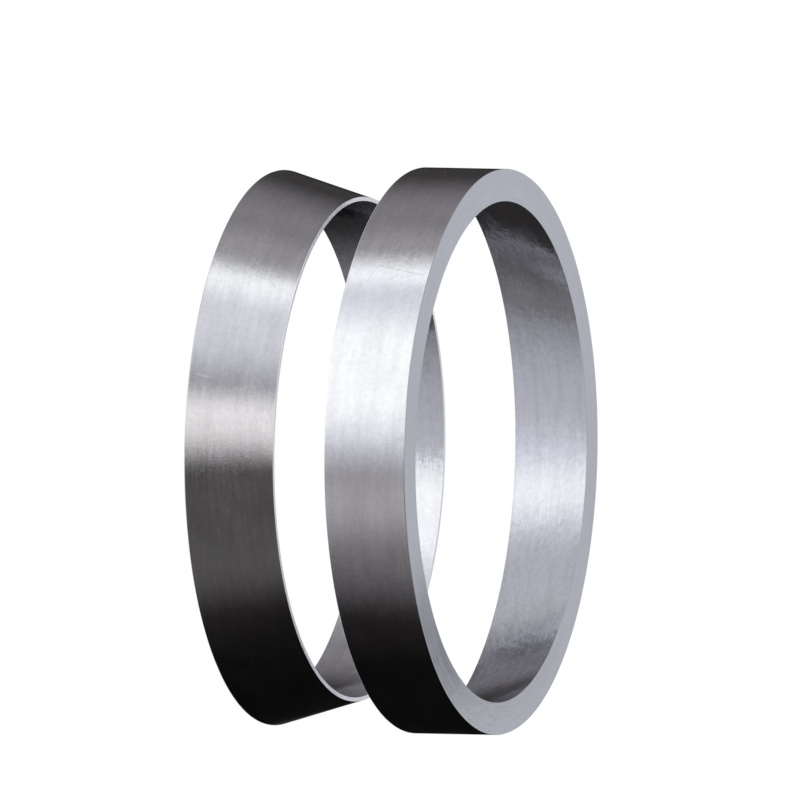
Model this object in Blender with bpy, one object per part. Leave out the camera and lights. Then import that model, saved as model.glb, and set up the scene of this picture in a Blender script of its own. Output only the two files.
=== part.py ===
"""Shaft locking device: two plain steel rings with matching cones, standing apart on one axis.

The inner ring has a cylindrical bore for the shaft and a conical outside. The outer ring has a
conical bore and a cylindrical outside for the hub. The inner ring goes thin end first into the
outer ring's wide mouth. Pressed together along the axis, the cones wedge the inner ring onto the
shaft and the outer ring into the hub, with no key.

Metres, +Z up. The axis runs along X. The origin is on the axis, halfway along the outer ring. The
outer ring's thick end faces +X. The inner ring stands off on the -X side and slides along +X.
"""

import math

import bmesh
import bpy
from mathutils import Vector

# Driving dimensions, in metres and radians
SHAFT_DIAMETER = 0.050
RING_WIDTH = 0.0086  # of each ring, along the axis
CONE_ANGLE = math.radians(16.7)  # between the cones and the axis
INNER_LIP = 0.0004  # wall at the inner ring's thin end
OUTER_LIP = 0.00068  # wall at the outer ring's thin end
CONE_CLEARANCE = 0.00002  # radial, between the cones of the seated rings
SEATED_STEP = 0.0006  # how far one ring stands short of the other at each end when seated
SHOWN_GAP = 0.0066  # clear space between the rings as they stand apart
END_BREAK = 0.0001  # edge break round the thick ends
LIP_BREAK = 0.00004  # edge break round the thin ends

# Fineness of the turned surfaces
SEGMENTS = 192  # flats round each ring
SHARP_ANGLE = math.radians(12)  # edges steeper than this stay crisp

# Radii of the cones, worked out from the shaft outwards
CONE_RISE = RING_WIDTH * math.tan(CONE_ANGLE)
SHAFT_RADIUS = SHAFT_DIAMETER / 2
INNER_THIN_RADIUS = SHAFT_RADIUS + INNER_LIP
INNER_THICK_RADIUS = INNER_THIN_RADIUS + CONE_RISE
OUTER_NECK_RADIUS = INNER_THIN_RADIUS + CONE_CLEARANCE - SEATED_STEP * math.tan(CONE_ANGLE)
OUTER_MOUTH_RADIUS = OUTER_NECK_RADIUS + CONE_RISE
HUB_RADIUS = OUTER_MOUTH_RADIUS + OUTER_LIP

# Finish
STEEL_COLOUR = (0.60, 0.61, 0.63, 1.0)
STEEL_ROUGHNESS = 0.3


def clear_scene():
    """Removes every object that a new scene starts with."""
    for old in list(bpy.data.objects):
        bpy.data.objects.remove(old, do_unlink=True)


def ground_steel():
    """Bare fine-turned steel."""
    material = bpy.data.materials.new("ground_steel")
    material.use_nodes = True
    surface = material.node_tree.nodes["Principled BSDF"]
    surface.inputs["Base Color"].default_value = STEEL_COLOUR
    surface.inputs["Metallic"].default_value = 1.0
    surface.inputs["Roughness"].default_value = STEEL_ROUGHNESS
    return material


def break_edges(corners):
    """A ring's section with each corner cut off along both of its sides.

    Each corner is (x, radius, edge break), and the result is a list of (x, radius) vectors.
    """
    section = []
    for i, (x, radius, edge_break) in enumerate(corners):
        corner = Vector((x, radius))
        for neighbour in (corners[i - 1], corners[(i + 1) % len(corners)]):
            along = Vector(neighbour[:2]) - corner
            section.append(corner + along.normalized() * edge_break)
    return section


def turned_ring(name, corners, material):
    """A ring turned about its own X axis from the corners of its section."""
    shape = bmesh.new()
    points = [shape.verts.new((p.x, 0, p.y)) for p in break_edges(corners)]
    sides = [shape.edges.new((points[i - 1], points[i])) for i in range(len(points))]
    bmesh.ops.spin(
        shape,
        geom=points + sides,
        cent=(0, 0, 0),
        axis=(1, 0, 0),
        angle=math.tau,
        steps=SEGMENTS,
        use_merge=True,
    )
    bmesh.ops.recalc_face_normals(shape, faces=shape.faces)
    mesh = bpy.data.meshes.new(name)
    shape.to_mesh(mesh)
    shape.free()
    mesh.shade_smooth()
    mesh.set_sharp_from_angle(angle=SHARP_ANGLE)
    mesh.materials.append(material)
    ring = bpy.data.objects.new(name, mesh)
    bpy.context.scene.collection.objects.link(ring)
    return ring


def make_outer_ring(material):
    """Cylindrical outside for the hub, conical bore that opens towards -X."""
    half = RING_WIDTH / 2
    return turned_ring(
        "outer_ring",
        [
            (half, OUTER_NECK_RADIUS, END_BREAK),
            (half, HUB_RADIUS, END_BREAK),
            (-half, HUB_RADIUS, LIP_BREAK),
            (-half, OUTER_MOUTH_RADIUS, LIP_BREAK),
        ],
        material,
    )


def make_inner_ring(material):
    """Cylindrical bore for the shaft, conical outside that tapers towards +X."""
    half = RING_WIDTH / 2
    ring = turned_ring(
        "inner_ring",
        [
            (half, SHAFT_RADIUS, LIP_BREAK),
            (half, INNER_THIN_RADIUS, LIP_BREAK),
            (-half, INNER_THICK_RADIUS, END_BREAK),
            (-half, SHAFT_RADIUS, END_BREAK),
        ],
        material,
    )
    ring.location.x = -(RING_WIDTH + SHOWN_GAP)
    return ring


def main():
    clear_scene()
    steel = ground_steel()
    make_outer_ring(steel)
    make_inner_ring(steel)


main()
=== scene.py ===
"""The looks of the shaft locking device: two turned steel rings in a plain white studio.

The frame gives both rings' true sections. Each ring is turned again from its own section, finer
than the solid and with rounded edge breaks and real lathe lines on its end faces, and gets a
brushed steel finish. Metres, +Z up, and the rings' axis is X.
"""

import math

import bmesh
import bpy
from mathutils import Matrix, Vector


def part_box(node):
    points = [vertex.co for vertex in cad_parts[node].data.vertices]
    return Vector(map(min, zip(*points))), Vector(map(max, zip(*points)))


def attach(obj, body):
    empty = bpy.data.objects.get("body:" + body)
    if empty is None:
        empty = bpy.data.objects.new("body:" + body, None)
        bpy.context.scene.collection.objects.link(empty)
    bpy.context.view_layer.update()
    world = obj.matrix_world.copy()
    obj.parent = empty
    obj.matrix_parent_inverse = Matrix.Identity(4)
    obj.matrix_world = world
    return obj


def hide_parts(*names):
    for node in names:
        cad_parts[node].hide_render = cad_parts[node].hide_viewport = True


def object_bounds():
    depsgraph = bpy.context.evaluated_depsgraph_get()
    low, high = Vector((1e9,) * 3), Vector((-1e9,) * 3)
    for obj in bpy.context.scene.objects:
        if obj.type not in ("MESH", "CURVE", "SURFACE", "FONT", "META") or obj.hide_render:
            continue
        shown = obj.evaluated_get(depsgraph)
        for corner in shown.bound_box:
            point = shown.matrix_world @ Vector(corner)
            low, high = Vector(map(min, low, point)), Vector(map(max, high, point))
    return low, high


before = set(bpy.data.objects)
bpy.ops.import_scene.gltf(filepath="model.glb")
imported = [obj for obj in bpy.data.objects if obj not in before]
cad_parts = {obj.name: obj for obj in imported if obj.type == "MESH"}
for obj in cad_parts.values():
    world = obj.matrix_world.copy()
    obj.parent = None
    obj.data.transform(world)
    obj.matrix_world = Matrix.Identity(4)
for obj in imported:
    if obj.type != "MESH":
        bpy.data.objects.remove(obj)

CAD_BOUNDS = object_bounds()
MM = 0.001
HALF_TURN = 180.0
FULL_TURN = 360.0
WHITE = (1, 1, 1, 1)

# Turned meshes
SAME_CORNER = 0.01 * MM  # places of a section nearer to each other than this are one corner
FLAT_END = 1e-6  # a side whose corners differ by less than this along the axis is a flat end
SEGMENTS = 720  # round each ring
BREAK_STEPS = 4  # along each rounded edge break
TURNING_PITCH = 0.17 * MM  # between the lathe lines on an end face
TURNING_DEPTH = 0.0025 * MM
TURNING_POINTS = 4  # along each lathe line's section
HOLD = 0.03 * MM  # from a rounded break to the next point of a long side, which keeps it straight
LIP_HIGHLIGHT_DEPTH = 0.045 * MM  # along the axis, of the thin ends' painted highlight
BORE_BREAK = 0.2  # share kept of the edge breaks on the bores' side, which look sharp

# Steel
STEEL_SHADE = 0.65
LIP_HIGHLIGHT_SHADE = 0.9  # painted highlight: a lighter shade on the rings' thin ends, standing in for the light they catch
# Only part metal, so that the thin ends' painted highlight shows lit from every side
LIP_HIGHLIGHT_METAL = 0.5
STEEL_TINT = (1.01, 0.995, 1.075)
STEEL_ROUGHNESS = 0.15
ANISOTROPY = 0.7
ANISOTROPY_TURN = 0.25  # of a full turn, because the blur runs across the lines round the axis
FLAT_FACING = (0.9, 0.99)  # X part of the normal between the curved sides and the flat ends
FACE_CALM = 0.75  # share of the blotches that the flat ends are without

# Noise drawn out round the axis: width across the lines, length along them, seed
HAIR = (0.12 * MM, 1.8 * MM, 13.0)
FINE = (0.28 * MM, 5 * MM, 0.0)
SOFT = (0.9 * MM, 6 * MM, 7.0)
FACE_RINGS = (0.1 * MM, 60 * MM, 3.0)  # the fine lighter and darker rings on the flat ends
STROKES = (0.15 * MM, 0.9 * MM, 29.0)
STROKE_DETAIL = 3.0
# Noise of the same size in every direction: detail, roughness, size
BLOTCHES = (3.0, 0.55, 3.2 * MM)
MOTTLE = (2.0, 0.6, 0.5 * MM)
GRAIN = (1.0, 0.5, 0.2 * MM)
LUMPS = (1.0, 0.5, 0.7 * MM)  # in the bores only
NOISE_RANGE = (0.3, 0.7)  # most of a noise's values lie between these

# Most that each kind of noise adds to the shade or the roughness, or takes from it
FINE_SHADE = 0.015
SOFT_SHADE = 0.03
BLOTCH_SHADE = 0.022
MOTTLE_SHADE = 0.03
FACE_RING_SHADE = 0.025
FINE_ROUGHNESS = 0.02
BLOTCH_ROUGHNESS = 0.03
# Relief of each kind of noise
HAIR_RELIEF = 0.0008 * MM
FINE_RELIEF = 0.0025 * MM
SOFT_RELIEF = 0.005 * MM
BLOTCH_RELIEF = 0.008 * MM
GRAIN_RELIEF = 0.0035 * MM
LUMP_RELIEF = 0.013 * MM
# Lean of the brush strokes round the axis, in radians
FRINGE_OUTSIDE = 0.008
FRINGE_BORE = 0.025

# Sets of hairlines: degrees from the lines round the axis, cell spacing and length, share of the
# cells that hold one, depth, seed
SCRATCHES = (
    (24, 3.1 * MM, 8 * MM, 0.16, 0.003 * MM, 4.0),
    (-38, 3.4 * MM, 6 * MM, 0.2, 0.003 * MM, 19.0),
    (-84, 2.9 * MM, 9 * MM, 0.16, 0.003 * MM, 31.0),
    (47, 0.9 * MM, 1.9 * MM, 0.5, 0.0022 * MM, 43.0),
    (-52, 0.8 * MM, 1.7 * MM, 0.5, 0.0022 * MM, 57.0),
)
SCRATCH_WIDTH = 0.05 * MM  # to each side
SCRATCH_FADE = 0.6  # share of its half length where a hairline starts to fade
# Least and most of each hairline, as shares of its cell
SCRATCH_MIDDLE = (0.3, 0.7)  # across the cell
SCRATCH_LEAN = (-0.5, 0.5)  # across the cell, over the cell's length
SCRATCH_HALF_LENGTH = (0.12, 0.5)
ROW_SHIFT = 0.37  # of a cell's length, from one row of cells to the next

# Camera: the photo's frame is 801 pixels wide
FRAME_PIXELS = 801
PIXELS_PER_MM = 9.934
CAMERA_AZIMUTH = math.radians(19.98)
CAMERA_ELEVATION = math.radians(3.09)
AIM_RIGHT = -10.133 * MM  # from the outer ring's thick face centre to the middle of the picture
AIM_UP = 5.227 * MM
CAMERA_DISTANCE = 0.6
CLIP_START = 0.01
CLIP_END = 10

# Studio
FLOOR_DROP = 12 * MM  # of the floor under the rings
FLOOR_LEVEL = CAD_BOUNDS[0][2] - FLOOR_DROP
FLOOR_RADIUS = 0.8
FLOOR_SEGMENTS = 96
FLOOR_COLOUR = (0.9, 0.9, 0.9, 1)
SHADOW_FADE = (60 * MM, 95 * MM)  # radii between which the floor turns to plain white
FLOOR_LIGHT = 0.6  # of the world on the floor
LAMP_SIZE = 0.8
LAMP_POWER = 6.0
LAMP_HEIGHT = 0.7

# The tent is a white cloth tunnel round the rings' axis, with light panels and black cloths behind
# it. A place on it is given by its angle round the axis in degrees (0 is level with the front, 90
# straight up, 180 level with the back, -90 straight down) and its side, the X part of the
# direction to it from the middle (-1 left, 1 right).
TENT_RADIUS = 1.0
TENT_HALF_LENGTH = 2.5
TENT_SEGMENTS = 96
BLACK_CLOTH = 0.004
# Sides of the panels: left and right, softness of the left and the right edge
LEFT_END = (-2, -0.65, 0.1, 0.08)
LEFT_BACK = (-2, -0.5, 0.1, 0.1)
LEFT_LOW = (-2, -0.42, 0.1, 0.08)
LEFT_GLINT = (-2, -0.57, 0.1, 0.08)
GAP_LEFT = (-0.65, -0.5, 0.08, 0.16)
LEFT = (-0.5, -0.08, 0.16, 0.3)
NEAR_LEFT = (-0.58, 0.1, 0.16, 0.1)
RIGHT = (-0.08, 0.42, 0.3, 0.12)
NEAR = (-0.56, 0.42, 0.12, 0.12)
BACK = (-0.04, 0.56, 0.12, 0.16)
RIGHT_END = (0.5, 2, 0.16, 0.1)
LOW_RIGHT = (0.27, 2, 0.16, 0.1)
FAR_LEFT = (-2, -0.82, 0.1, 0.1)
MID_LEFT = (-0.82, -0.62, 0.1, 0.12)
# Panels: (low and high angle, softness of the low and the high edge), sides, light
PANELS = {
    "key": ((3, 85.5, 24, 13), LEFT, (0.945, 0.98, 1.03)),
    "key_edge": ((74, 85.5, 10, 13), LEFT, (0.45, 0.47, 0.37)),
    "key_core": ((12, 58, 24, 24), LEFT, (0.483, 0.496, 0.38)),
    "low_fill_left": ((-28, 6, 30, 20), LEFT, (0.371, 0.365, 0.364)),
    "lower_fill_left": ((-54, -12, 34, 34), LEFT, (0.217, 0.209, 0.209)),
    "low_tail": ((-80, -54, 40, 20), NEAR, (0.016, 0.014, 0.013)),
    "top": ((86, 135.5, 9, 40), NEAR, (0.287, 0.277, 0.283)),
    "top_edge": ((86, 102, 9, 16), NEAR, (0.13, 0.131, 0.125)),
    "top_back": ((138, 172, 34, 10), NEAR_LEFT, (0.045, 0.042, 0.041)),
    "upper_right": ((30, 84, 50, 14), RIGHT, (0.936, 0.948, 0.961)),
    "upper_right_edge": ((69, 83, 14, 12), RIGHT, (0.386, 0.414, 0.345)),
    "strip_right": ((1, 24, 20, 16), RIGHT, (1.04, 1.022, 0.965)),
    "low_fill_right": ((-60, -5, 28, 10), RIGHT, (0.094, 0.088, 0.083)),
    "low_right_mid": ((-58, -34, 16, 16), RIGHT, (0.015, 0.017, 0.016)),
    "gap_key": ((3, 50, 24, 20), GAP_LEFT, (0.92, 0.95, 1.0)),
    "gap_core": ((12, 42, 24, 20), GAP_LEFT, (0.44, 0.45, 0.35)),
    "gap_low": ((-56, 3, 40, 24), GAP_LEFT, (0.32, 0.32, 0.33)),
    "left_end_wall": ((-72, 104, 90, 16), LEFT_END, (0.603, 0.617, 0.66)),
    "left_end_core": ((-2, 45, 50, 36), LEFT_END, (0.484, 0.509, 0.544)),
    "left_end_band": ((12, 38, 20, 20), LEFT_END, (0.171, 0.182, 0.08)),
    "left_end_top": ((66, 108, 36, 12), LEFT_END, (0.028, 0.039, 0.017)),
    "left_end_low": ((-115, -70, 40, 60), LEFT_END, (0.05, 0.045, 0.045)),
    "left_low_glint": ((-116, -92, 14, 16), LEFT_GLINT, (0.4, 0.38, 0.39)),
    "left_end_low_back": ((190, 240, 20, 10), LEFT_LOW, (0.024, 0.021, 0.021)),
    "left_end_back": ((104, 120, 14, 14), LEFT_BACK, (0.4, 0.405, 0.435)),
    "left_end_far": ((120, 146, 14, 24), LEFT_BACK, (0.125, 0.125, 0.14)),
    "back_wall": ((138, 213, 30, 24), BACK, (0.563, 0.59, 0.612)),
    "right_end_wall": ((-70, 125, 70, 50), RIGHT_END, (0.52, 0.54, 0.57)),
    "right_end_core": ((8, 62, 40, 30), RIGHT_END, (0.36, 0.36, 0.34)),
    "right_end_back": ((128, 240, 40, 40), RIGHT_END, (0.4, 0.41, 0.43)),
    "right_low": ((225, 265, 50, 30), LOW_RIGHT, (0.26, 0.26, 0.27)),
    "far_left_back": ((112, 250, 40, 50), FAR_LEFT, (0.42, 0.43, 0.45)),
    "mid_left_back": ((168, 226, 24, 24), MID_LEFT, (0.38, 0.39, 0.4)),
}

# Small cards inside the tent. A card's X, Y and Z are its range or its place, SOFT the softness of
# its edges, and FADE where it is dimmest and brightest.
# A level card, low behind the rings on the left, brighter towards the front
LOW_CARD_X = (-63 * MM, -31 * MM)
LOW_CARD_Y = (8 * MM, 75 * MM)
LOW_CARD_FADE = (70 * MM, 16 * MM)
LOW_CARD_CURVE = 3.0  # the power that its light rises with
LOW_CARD_REST = 0.117  # of its light where it is dimmest
LOW_CARD_LIGHT = 0.2
# An upright card behind the rings, on the right, that the end faces reflect, with a dim spot
FACE_CARD_X = (-8 * MM, 66 * MM)
FACE_CARD_Y = 50 * MM
FACE_CARD_Z = (-66 * MM, 61 * MM)
FACE_CARD_SOFT_X = (12 * MM, 30 * MM)
FACE_CARD_SOFT_Z = (30 * MM, 30 * MM)
FACE_SPOT = (29.6 * MM, -22.3 * MM)  # X and Z of its middle
FACE_SPOT_REACH = (12 * MM, 12 * MM)
FACE_SPOT_SHADE = 0.75
FACE_CARD_LIGHT = (0.588, 0.613, 0.638)
# An upright card on the left of the inner ring, whose bore's level back reflects it
BORE_CARD_X = (-44 * MM, -21 * MM)
BORE_CARD_Y = -15 * MM
BORE_CARD_Z = (-48 * MM, 4 * MM)
BORE_CARD_SOFT_X = (6 * MM, 3 * MM)
BORE_CARD_SOFT_Z = (10 * MM, 5 * MM)
BORE_CARD_FADE = (-36 * MM, -2 * MM)
BORE_CARD_LIGHT = (0.32, 0.67)
BORE_CARD_TINT = (0.98, 0.99, 1.05)
# Cards that close the middle of the tunnel's two ends, brighter at the top
END_CARD_X = 2.4
END_CARD_REACH = 0.75
END_CARD_LIGHT = (0.34, 0.6)
END_CARD_TINT = (0.97, 1, 1.03)


class Tree:
    """Makes and links shader nodes."""

    def __init__(self, tree):
        self.tree = tree
        tree.nodes.clear()

    def node(self, kind, inputs=(), **settings):
        """A node of this kind. inputs maps a socket's name or number to a value or an output."""
        made = self.tree.nodes.new(kind)
        for name, value in settings.items():
            setattr(made, name, value)
        for key, value in dict(inputs).items():
            self.feed(made.inputs[key], value)
        return made

    def feed(self, socket, value):
        """Links an output to the socket, or sets a plain value on it."""
        if isinstance(value, bpy.types.NodeSocket):
            self.tree.links.new(value, socket)
        else:
            socket.default_value = value

    def maths(self, operation, *values):
        return self.node("ShaderNodeMath", dict(enumerate(values)), operation=operation).outputs[0]

    def vector_maths(self, operation, inputs):
        return self.node("ShaderNodeVectorMath", inputs, operation=operation).outputs[0]

    def split(self, vector):
        """The X, Y and Z parts of a vector."""
        return self.node("ShaderNodeSeparateXYZ", {0: vector}).outputs

    def joined(self, *parts):
        """The vector with these X, Y and Z parts."""
        return self.node("ShaderNodeCombineXYZ", dict(enumerate(parts))).outputs[0]

    def products(self, a, b, c, d):
        """a times b, plus c times d."""
        return self.maths("ADD", self.maths("MULTIPLY", a, b), self.maths("MULTIPLY", c, d))

    def length(self, a, b):
        """The length of a line with these two parts."""
        return self.maths("SQRT", self.products(a, a, b, b))

    def ramp(self, value, low, high, to_low=0.0, to_high=1.0, smooth=True):
        """value carried from low..high to to_low..to_high, held at the ends."""
        kind = "SMOOTHSTEP" if smooth else "LINEAR"
        inputs = {0: value, 1: low, 2: high, 3: to_low, 4: to_high}
        return self.node("ShaderNodeMapRange", inputs, interpolation_type=kind).outputs[0]

    def band(self, value, low, high, soft_low, soft_high):
        """1 between low and high and 0 outside, with soft sides."""
        rise = self.ramp(value, low - soft_low / 2, low + soft_low / 2)
        fall = self.ramp(value, high - soft_high / 2, high + soft_high / 2, 1.0, 0.0)
        return self.maths("MULTIPLY", rise, fall)


def new_material(name):
    """A material and its empty shader tree."""
    material = bpy.data.materials.new(name)
    material.use_nodes = True
    return material, Tree(material.node_tree)


def add(name, data):
    """A new object in the scene that holds this mesh, lamp or camera."""
    made = bpy.data.objects.new(name, data)
    bpy.context.scene.collection.objects.link(made)
    return made


def section(node):
    """The corners of a ring's section as the solid has it: (x, radius), in order round it."""
    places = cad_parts[node].data.vertices
    corners = []
    for corner in sorted((p.co.x, math.hypot(p.co.y, p.co.z)) for p in places):
        if all(math.dist(corner, kept) > SAME_CORNER for kept in corners):
            corners.append(corner)
    middle = sum((Vector(c) for c in corners), Vector((0, 0))) / len(corners)
    return sorted(corners, key=lambda c: math.atan2(c[1] - middle.y, c[0] - middle.x))


def meeting(start, end, before, after):
    """Where the sides before-start and end-after would meet."""
    into = Vector(start) - Vector(before)
    out = Vector(after) - Vector(end)
    cross = into.x * out.y - into.y * out.x
    gap = Vector(end) - Vector(start)
    reach = (gap.x * out.y - gap.y * out.x) / cross
    return Vector(start) + into * reach


def crisper(corners, first_break):
    """The section with the edge breaks on the bore's side drawn in to a share of their size."""
    count = len(corners)
    middle = sum(c[1] for c in corners) / count
    drawn = [Vector(c) for c in corners]
    for i in range(first_break, count, 2):
        j = (i + 1) % count
        corner = meeting(corners[i], corners[j], corners[i - 1], corners[(i + 2) % count])
        if corner.y < middle:
            drawn[i] = corner.lerp(drawn[i], BORE_BREAK)
            drawn[j] = corner.lerp(drawn[j], BORE_BREAK)
    return drawn


def rounded_break(start, end, before, after):
    """Points of a curve from start to end that leaves along before and arrives along after."""
    corner = meeting(start, end, before, after)
    points = []
    for i in range(1, BREAK_STEPS):
        t = i / BREAK_STEPS
        near = Vector(start).lerp(corner, t)
        far = corner.lerp(Vector(end), t)
        points.append(near.lerp(far, t))
    return points


def turning_lines(start, end, inward):
    """Points along an end face with fine lathe lines sunk into it."""
    along = Vector(end) - Vector(start)
    lines = max(1, round(along.length / TURNING_PITCH))
    count = lines * TURNING_POINTS
    points = []
    for i in range(1, count):
        depth = TURNING_DEPTH * (1 - math.cos(math.tau * i / TURNING_POINTS)) / 2
        points.append(Vector(start) + along * (i / count) + inward * depth)
    return points


def fine_section(corners):
    """The section with rounded edge breaks, and lathe lines on the flat ends."""
    count = len(corners)
    middle_x = sum(c[0] for c in corners) / count
    sides = [math.dist(corners[i], corners[(i + 1) % count]) for i in range(count)]
    first_break = 0 if sum(sides[::2]) < sum(sides[1::2]) else 1
    corners = crisper(corners, first_break)
    points = []
    for i, start in enumerate(corners):
        end = corners[(i + 1) % count]
        points.append(Vector(start))
        if i % 2 == first_break:
            points += rounded_break(start, end, corners[i - 1], corners[(i + 2) % count])
        elif abs(end[0] - start[0]) < FLAT_END:
            inward = Vector((math.copysign(1, middle_x - start[0]), 0))
            points += turning_lines(start, end, inward)
        else:
            along = (Vector(end) - Vector(start)).normalized()
            points += [Vector(start) + along * HOLD, Vector(end) - along * HOLD]
    return points


def turned(name, points):
    """A closed ring turned about X from its section's points."""
    count = len(points)
    places = []
    faces = []
    for step in range(SEGMENTS):
        angle = math.tau * step / SEGMENTS
        for x, radius in points:
            places.append((x, radius * math.cos(angle), radius * math.sin(angle)))
        here = step * count
        there = (step + 1) % SEGMENTS * count
        for i in range(count):
            j = (i + 1) % count
            faces.append((here + i, here + j, there + j, there + i))
    mesh = bpy.data.meshes.new(name)
    mesh.from_pydata(places, [], faces)
    shape = bmesh.new()
    shape.from_mesh(mesh)
    bmesh.ops.recalc_face_normals(shape, faces=shape.faces)
    shape.to_mesh(mesh)
    shape.free()
    mesh.shade_smooth()
    return add(name, mesh)


class RingSurface:
    """Where a place on a ring lies, and the patterns laid out there."""

    def __init__(self, tree):
        self.tree = tree
        coordinates = tree.node("ShaderNodeTexCoord").outputs
        self.place = coordinates["Object"]
        x, self.y, self.z = tree.split(self.place)
        normal_x, normal_y, normal_z = tree.split(coordinates["Normal"])
        outward = tree.products(normal_y, self.y, normal_z, self.z)
        self.bore = tree.maths("LESS_THAN", outward, 0.0)
        self.flat = tree.ramp(tree.maths("ABSOLUTE", normal_x), *FLAT_FACING)
        self.calm = tree.maths("MULTIPLY_ADD", self.flat, -FACE_CALM, 1.0)
        self.radius = tree.length(self.y, self.z)
        # Distances across and along the lines round the axis
        self.across = tree.maths("SUBTRACT", x, self.radius)
        angle = tree.maths("ARCTAN2", self.z, tree.maths("MULTIPLY", self.y, -1.0))
        self.round_about = tree.maths("MULTIPLY", angle, self.radius)

    def noise(self, vector, detail=2.0, roughness=0.5, scale=1.0):
        inputs = {"Vector": vector, "Scale": scale, "Detail": detail, "Roughness": roughness}
        return self.tree.node("ShaderNodeTexNoise", inputs).outputs[0]

    def even(self, detail, roughness, size):
        """Noise of the same size in every direction."""
        return self.noise(self.place, detail, roughness, 1 / size)

    def streaks(self, width, length, seed, detail=2.0):
        """Noise drawn out round the axis: its width across the lines and its length along them."""
        parts = (
            self.tree.maths("MULTIPLY_ADD", self.across, 1 / width, seed),
            self.tree.maths("MULTIPLY", self.y, 1 / length),
            self.tree.maths("MULTIPLY", self.z, 1 / length),
        )
        return self.noise(self.tree.joined(*parts), detail)

    def spread(self, value, amount):
        """Noise carried to -amount..amount."""
        return self.tree.ramp(value, *NOISE_RANGE, -amount, amount, smooth=False)

    def scratches(self, turn, spacing, length, share, seed):
        """Straight hairlines that lie turned by this angle from the lines round the axis.

        The surface is laid out in cells, spacing by length, and some of them hold one hairline.
        """
        maths, ramp = self.tree.maths, self.tree.ramp
        cos, sin = math.cos(turn), math.sin(turn)
        along = self.tree.products(self.round_about, cos, self.across, sin)
        aside = maths("MULTIPLY", self.across, cos)
        aside = maths("SUBTRACT", aside, maths("MULTIPLY", self.round_about, sin))
        rows = maths("MULTIPLY", aside, 1 / spacing)
        row = maths("FLOOR", rows)
        runs = maths("MULTIPLY_ADD", row, ROW_SHIFT, maths("MULTIPLY", along, 1 / length))
        cell = self.tree.joined(row, maths("FLOOR", runs), seed)
        chance = self.tree.node("ShaderNodeTexWhiteNoise", {"Vector": cell}).outputs
        chances = self.tree.node("ShaderNodeSeparateColor", {0: chance["Color"]}).outputs
        middle, lean, half = (
            ramp(value, 0.0, 1.0, *most, smooth=False)
            for value, most in zip(chances, (SCRATCH_MIDDLE, SCRATCH_LEAN, SCRATCH_HALF_LENGTH))
        )
        run = maths("SUBTRACT", maths("FRACT", runs), 0.5)
        off = maths("SUBTRACT", maths("FRACT", rows), middle)
        off = maths("SUBTRACT", off, maths("MULTIPLY", run, lean))
        off = maths("MULTIPLY", maths("ABSOLUTE", off), spacing)
        line = ramp(off, 0.0, SCRATCH_WIDTH, 1.0, 0.0)
        reached = maths("DIVIDE", maths("ABSOLUTE", run), half)
        line = maths("MULTIPLY", line, ramp(reached, SCRATCH_FADE, 1.0, 1.0, 0.0))
        return maths("MULTIPLY", line, maths("LESS_THAN", chance["Value"], share))


def steel_relief(ring, fine, soft, blotches):
    """The height of the surface: hairlines sunk into every kind of noise."""
    tree = ring.tree
    groove = 0.0
    for turn, spacing, length, share, depth, seed in SCRATCHES:
        mark = ring.scratches(math.radians(turn), spacing, length, share, seed)
        groove = tree.maths("MAXIMUM", groove, tree.maths("MULTIPLY", mark, depth))
    relief = tree.maths("MULTIPLY", groove, -1.0)
    for value, height in (
        (ring.streaks(*HAIR), HAIR_RELIEF),
        (fine, FINE_RELIEF),
        (soft, SOFT_RELIEF),
        (blotches, BLOTCH_RELIEF),
        (ring.even(*GRAIN), GRAIN_RELIEF),
        (tree.maths("MULTIPLY", ring.even(*LUMPS), ring.bore), LUMP_RELIEF),
    ):
        value = tree.maths("MULTIPLY", value, ring.calm)
        relief = tree.maths("MULTIPLY_ADD", value, height, relief)
    return relief


def frayed_normal(ring):
    """The normal, leaning round the axis a little by each brush stroke.

    This frays the reflections' edges.
    """
    tree = ring.tree
    most = tree.ramp(ring.bore, 0.0, 1.0, FRINGE_OUTSIDE, FRINGE_BORE, smooth=False)
    lean = ring.spread(ring.streaks(*STROKES, STROKE_DETAIL), 1.0)
    lean = tree.maths("MULTIPLY", lean, most)
    # The way round the axis at this place
    turn_y = tree.maths("DIVIDE", tree.maths("MULTIPLY", ring.z, -1.0), ring.radius)
    turn_way = tree.joined(0.0, turn_y, tree.maths("DIVIDE", ring.y, ring.radius))
    transform = {"vector_type": "VECTOR", "convert_from": "OBJECT", "convert_to": "WORLD"}
    turn_way = tree.node("ShaderNodeVectorTransform", {0: turn_way}, **transform).outputs[0]
    leaning = tree.vector_maths("SCALE", {0: turn_way, "Scale": lean})
    normal = tree.node("ShaderNodeNewGeometry").outputs["Normal"]
    normal = tree.vector_maths("ADD", {0: normal, 1: leaning})
    return tree.vector_maths("NORMALIZE", {0: normal})


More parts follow.
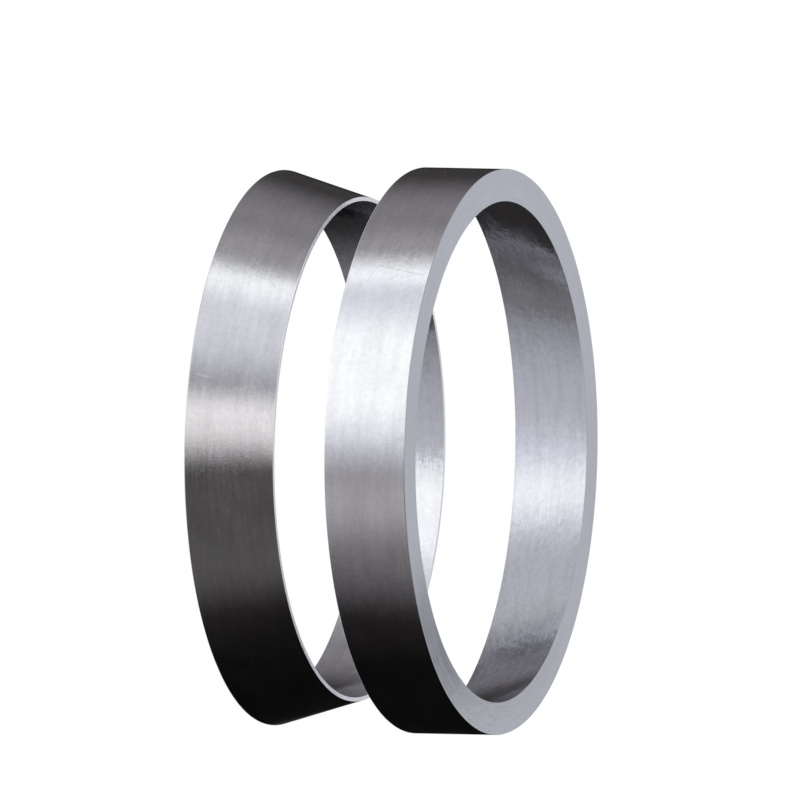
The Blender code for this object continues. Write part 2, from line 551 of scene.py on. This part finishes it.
def brushed_steel(name, level, metal):
    """Fine-turned bare steel: soft lines round the axis, faint blotches and light scratches."""
    material, tree = new_material(name)
    ring = RingSurface(tree)
    fine = ring.streaks(*FINE)
    soft = ring.streaks(*SOFT)
    blotches = ring.even(*BLOTCHES)
    mottle = ring.even(*MOTTLE)

    shade = tree.maths("ADD", ring.spread(fine, FINE_SHADE), level)
    for value, amount in ((soft, SOFT_SHADE), (blotches, BLOTCH_SHADE), (mottle, MOTTLE_SHADE)):
        shade = tree.maths("MULTIPLY_ADD", ring.spread(value, amount), ring.calm, shade)
    face_rings = ring.spread(ring.streaks(*FACE_RINGS), FACE_RING_SHADE)
    shade = tree.maths("MULTIPLY_ADD", face_rings, ring.flat, shade)
    tints = {i: tree.maths("MULTIPLY", shade, part) for i, part in enumerate(STEEL_TINT)}
    roughness = tree.maths("ADD", ring.spread(fine, FINE_ROUGHNESS), STEEL_ROUGHNESS)
    roughness = tree.maths("ADD", roughness, ring.spread(blotches, BLOTCH_ROUGHNESS))
    bump = {
        "Height": steel_relief(ring, fine, soft, blotches),
        "Strength": 1.0,
        "Distance": 1.0,
        "Normal": frayed_normal(ring),
    }
    inputs = {
        "Base Color": tree.node("ShaderNodeCombineColor", tints).outputs[0],
        "Metallic": metal,
        "Roughness": roughness,
        "Normal": tree.node("ShaderNodeBump", bump).outputs[0],
        "Tangent": tree.node("ShaderNodeTangent", direction_type="RADIAL", axis="X").outputs[0],
        "Anisotropic": ANISOTROPY,
        "Anisotropic Rotation": ANISOTROPY_TURN,
    }
    surface = tree.node("ShaderNodeBsdfPrincipled", inputs)
    tree.node("ShaderNodeOutputMaterial", {"Surface": surface.outputs[0]})
    return material


def thin_end(corners):
    """Where along the axis the ring's thin end is."""
    ends = [min(c[0] for c in corners), max(c[0] for c in corners)]
    walls = []
    for end in ends:
        radii = [radius for x, radius in corners if abs(x - end) < SAME_CORNER]
        walls.append(max(radii) - min(radii))
    return ends[walls.index(min(walls))]


def make_ring(node, body, steel, lip_painted_highlight):
    """The fine ring that stands in for this node's solid."""
    corners = section(node)
    piece = turned(node + "_turned", fine_section(corners))
    piece.data.materials.append(steel)
    piece.data.materials.append(lip_painted_highlight)
    lip = thin_end(corners)
    # Faces at the thin end take the second material, a painted highlight
    for face in piece.data.polygons:
        face.material_index = int(abs(face.center.x - lip) < LIP_HIGHLIGHT_DEPTH)
    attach(piece, body)
    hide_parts(node)


def unseen(name, places, faces):
    """A mesh that only the metal sees, and its material's empty shader tree."""
    mesh = bpy.data.meshes.new(name)
    mesh.from_pydata(places, [], faces)
    material, tree = new_material(name)
    material.cycles.emission_sampling = "NONE"
    mesh.materials.append(material)
    made = add(name, mesh)
    made.visible_camera = False
    made.visible_diffuse = False
    made.visible_shadow = False
    return made, tree


def make_tent():
    """The cloth tunnel that the rings reflect. The camera doesn't see it."""
    places = []
    for step in range(TENT_SEGMENTS):
        angle = math.tau * step / TENT_SEGMENTS
        y, z = TENT_RADIUS * math.cos(angle), TENT_RADIUS * math.sin(angle)
        places += [(-TENT_HALF_LENGTH, y, z), (TENT_HALF_LENGTH, y, z)]
    count = len(places)
    faces = [(i, i + 1, (i + 3) % count, (i + 2) % count) for i in range(0, count, 2)]
    tent, tree = unseen("tent", places, faces)

    place = tree.node("ShaderNodeTexCoord").outputs["Object"]
    x, y, z = tree.split(tree.vector_maths("NORMALIZE", {0: place}))
    height = tree.maths("ARCTAN2", z, tree.maths("MULTIPLY", y, -1.0))
    height = tree.maths("DEGREES", height)
    light = (BLACK_CLOTH,) * 3
    for (low, high, soft_low, soft_high), sides, strength in PANELS.values():
        # The angle is counted from opposite the panel's middle, so its wrap is far from the panel
        middle = (low + high) / 2
        off = tree.maths("ADD", height, HALF_TURN - middle)
        off = tree.maths("FLOORED_MODULO", off, FULL_TURN)
        low, high = HALF_TURN + low - middle, HALF_TURN + high - middle
        part = tree.band(off, low, high, soft_low, soft_high)
        part = tree.maths("MULTIPLY", part, tree.band(x, *sides))
        part = tree.vector_maths("SCALE", {0: strength, "Scale": part})
        light = tree.vector_maths("ADD", {0: light, 1: part})
    glow = tree.node("ShaderNodeEmission", {"Color": light, "Strength": 1.0})
    tree.node("ShaderNodeOutputMaterial", {"Surface": glow.outputs[0]})


def make_card(name, corners, paint):
    """A card that only the metal sees.

    paint makes its colour, strength and solidity from its shader tree and the parts of its places.
    """
    card, tree = unseen(name, corners, [(0, 1, 2, 3)])
    place = tree.node("ShaderNodeTexCoord").outputs["Object"]
    colour, strength, solid = paint(tree, *tree.split(place))
    glow = tree.node("ShaderNodeEmission", {"Color": (*colour, 1), "Strength": strength}).outputs[0]
    clear = tree.node("ShaderNodeBsdfTransparent").outputs[0]
    mixed = tree.node("ShaderNodeMixShader", {0: solid, 1: clear, 2: glow}).outputs[0]
    tree.node("ShaderNodeOutputMaterial", {"Surface": mixed})


def upright(xs, y, zs):
    """The corners of an upright card that stands along the rings' axis."""
    (x0, x1), (z0, z1) = xs, zs
    return [(x0, y, z0), (x1, y, z0), (x1, y, z1), (x0, y, z1)]


def soft_edges(tree, sides):
    """1 on a card and 0 at its edges. sides holds (value, its range, softness at both ends)."""
    parts = []
    for value, (low, high), (soft_low, soft_high) in sides:
        low, high = low + soft_low / 2, high - soft_high / 2
        parts.append(tree.band(value, low, high, soft_low, soft_high))
    return tree.maths("MULTIPLY", *parts)


def make_low_card():
    """Lifts the shade inside the top of the inner ring."""

    def paint(tree, _x, y, _z):
        rise = tree.ramp(y, *LOW_CARD_FADE, smooth=False)
        rise = tree.maths("POWER", rise, LOW_CARD_CURVE)
        light = tree.maths("MULTIPLY", tree.maths("ADD", rise, LOW_CARD_REST), LOW_CARD_LIGHT)
        return (1, 1, 1), light, 1.0

    (x0, x1), (y0, y1), z = LOW_CARD_X, LOW_CARD_Y, FLOOR_LEVEL
    make_card("low_card", [(x0, y0, z), (x1, y0, z), (x1, y1, z), (x0, y1, z)], paint)


def make_face_card():
    """Gives the thick end faces their shade."""

    def paint(tree, x, _y, z):
        off = []
        for value, middle, reach in zip((x, z), FACE_SPOT, FACE_SPOT_REACH):
            off.append(tree.maths("DIVIDE", tree.maths("SUBTRACT", value, middle), reach))
        light = tree.ramp(tree.length(*off), 0.0, 1.0, 1.0 - FACE_SPOT_SHADE, 1.0)
        sides = ((x, FACE_CARD_X, FACE_CARD_SOFT_X), (z, FACE_CARD_Z, FACE_CARD_SOFT_Z))
        return FACE_CARD_LIGHT, light, soft_edges(tree, sides)

    make_card("face_card", upright(FACE_CARD_X, FACE_CARD_Y, FACE_CARD_Z), paint)


def make_bore_card():
    """Lifts the shade at the level back of the inner ring's bore."""

    def paint(tree, x, _y, z):
        light = tree.ramp(z, *BORE_CARD_FADE, *BORE_CARD_LIGHT, smooth=False)
        sides = ((x, BORE_CARD_X, BORE_CARD_SOFT_X), (z, BORE_CARD_Z, BORE_CARD_SOFT_Z))
        return BORE_CARD_TINT, light, soft_edges(tree, sides)

    make_card("bore_card", upright(BORE_CARD_X, BORE_CARD_Y, BORE_CARD_Z), paint)


def make_end_cards():
    """Give the end faces their shade when they're seen square on."""

    def paint(tree, _x, _y, z):
        light = tree.ramp(z, -END_CARD_REACH, END_CARD_REACH, *END_CARD_LIGHT, smooth=False)
        return END_CARD_TINT, light, 1.0

    r = END_CARD_REACH
    for name, x in (("end_card_left", -END_CARD_X), ("end_card_right", END_CARD_X)):
        make_card(name, [(x, -r, -r), (x, r, -r), (x, r, r), (x, -r, r)], paint)


def make_world():
    """A white background, seen directly and in the metal, and plain light for the floor."""
    world = bpy.data.worlds.new("studio")
    bpy.context.scene.world = world
    world.use_nodes = True
    tree = Tree(world.node_tree)
    rays = tree.node("ShaderNodeLightPath").outputs
    seen = tree.maths("MAXIMUM", rays["Is Camera Ray"], rays["Is Glossy Ray"])
    seen = tree.maths("MAXIMUM", seen, rays["Is Transmission Ray"])
    levels = {0: seen, 2: FLOOR_LIGHT, 3: 1.0}
    level = tree.node("ShaderNodeMix", levels, data_type="FLOAT").outputs[0]
    lit = tree.node("ShaderNodeBackground", {"Color": WHITE, "Strength": level})
    tree.node("ShaderNodeOutputWorld", {"Surface": lit.outputs[0]})


def make_camera():
    """Parallel view at the photo's angle."""
    azimuth, elevation = CAMERA_AZIMUTH, CAMERA_ELEVATION
    level = math.cos(elevation)
    back = Vector((math.sin(azimuth) * level, -math.cos(azimuth) * level, math.sin(elevation)))
    right = Vector((math.cos(azimuth), math.sin(azimuth), 0))
    up = back.cross(right)
    thick_face = Vector((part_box("outer_ring")[1][0], 0, 0))
    aim = thick_face + right * AIM_RIGHT + up * AIM_UP
    data = bpy.data.cameras.new("camera")
    data.type = "ORTHO"
    data.ortho_scale = FRAME_PIXELS / PIXELS_PER_MM * MM
    data.clip_start = CLIP_START
    data.clip_end = CLIP_END
    camera = add("camera", data)
    camera.location = aim + back * CAMERA_DISTANCE
    camera.rotation_euler = (math.pi / 2 - elevation, 0, azimuth)
    bpy.context.scene.camera = camera


def make_floor():
    """A pale floor that keeps the rings' shadow and turns plain white away from them."""
    mesh = bpy.data.meshes.new("floor")
    shape = bmesh.new()
    bmesh.ops.create_circle(shape, cap_ends=True, segments=FLOOR_SEGMENTS, radius=FLOOR_RADIUS)
    shape.to_mesh(mesh)
    shape.free()
    floor = add("floor", mesh)
    floor.location.z = FLOOR_LEVEL
    material, tree = new_material("floor")
    x, y, _ = tree.split(tree.node("ShaderNodeTexCoord").outputs["Object"])
    fade = tree.ramp(tree.length(x, y), *SHADOW_FADE)
    white = tree.node("ShaderNodeEmission", {"Color": WHITE, "Strength": 1.0}).outputs[0]
    matt = tree.node("ShaderNodeBsdfDiffuse", {"Color": FLOOR_COLOUR}).outputs[0]
    mixed = tree.node("ShaderNodeMixShader", {0: fade, 1: matt, 2: white}).outputs[0]
    tree.node("ShaderNodeOutputMaterial", {"Surface": mixed})
    mesh.materials.append(material)
    floor.visible_glossy = False


def make_lamp():
    """A large soft lamp overhead that lights the floor round the rings."""
    data = bpy.data.lights.new("overhead", "AREA")
    data.shape = "DISK"
    data.size = LAMP_SIZE
    data.energy = LAMP_POWER
    lamp = add("overhead", data)
    lamp.location.z = LAMP_HEIGHT
    lamp.visible_glossy = False


def main():
    steel = brushed_steel("brushed_steel", STEEL_SHADE, 1.0)
    # The thin ends' material is a painted highlight: a lighter, part-matt shade of the same steel
    lip_painted_highlight = brushed_steel("lip_painted_highlight", LIP_HIGHLIGHT_SHADE, LIP_HIGHLIGHT_METAL)
    make_ring("outer_ring", "outer_ring_body", steel, lip_painted_highlight)
    make_ring("inner_ring", "inner_ring_body", steel, lip_painted_highlight)
    make_world()
    make_tent()
    make_low_card()
    make_face_card()
    make_bore_card()
    make_end_cards()
    make_floor()
    make_lamp()
    make_camera()
    bpy.context.scene.view_settings.view_transform = "Standard"


main()
